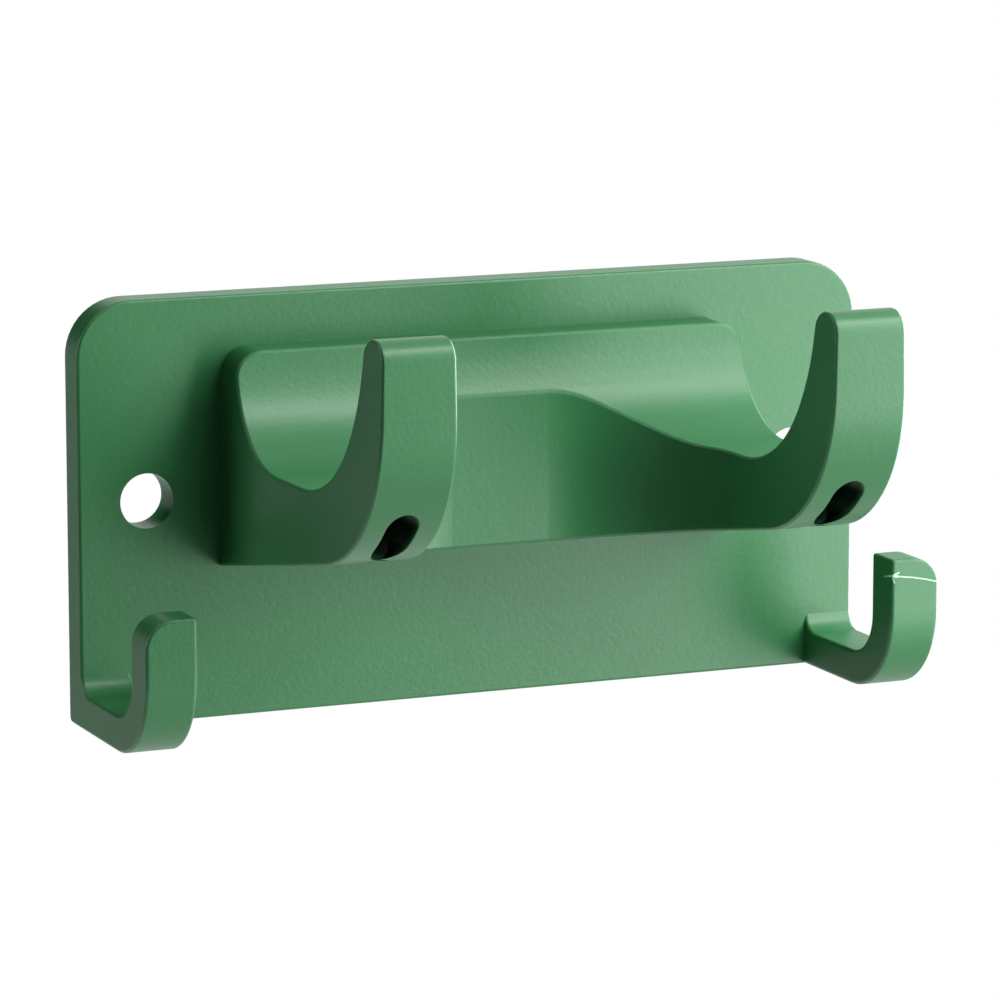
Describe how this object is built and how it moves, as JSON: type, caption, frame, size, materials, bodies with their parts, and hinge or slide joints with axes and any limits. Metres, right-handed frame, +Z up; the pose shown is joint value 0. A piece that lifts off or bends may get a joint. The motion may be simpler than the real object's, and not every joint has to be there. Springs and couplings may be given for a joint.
{
  "type": "garden tool hook",
  "caption": "Wall-mounted garden tool hook: a flat back plate with a wide open cradle for long tools and a small upturned hook at each lower corner.",
  "frame": {"origin": "on the wall face of the plate, midway between the two screw holes", "axes": "+Z up, +X to the right seen from the front, the hooks stand out towards -Y and the wall is on the +Y side"},
  "size_m": [0.12, 0.0633, 0.0611],
  "materials": {
    "green_coat": "satin green powder coat with a very fine texture"
  },
  "bodies": {
    "root": {"hook_bracket": "green_coat"}
  },
  "joints": []
}
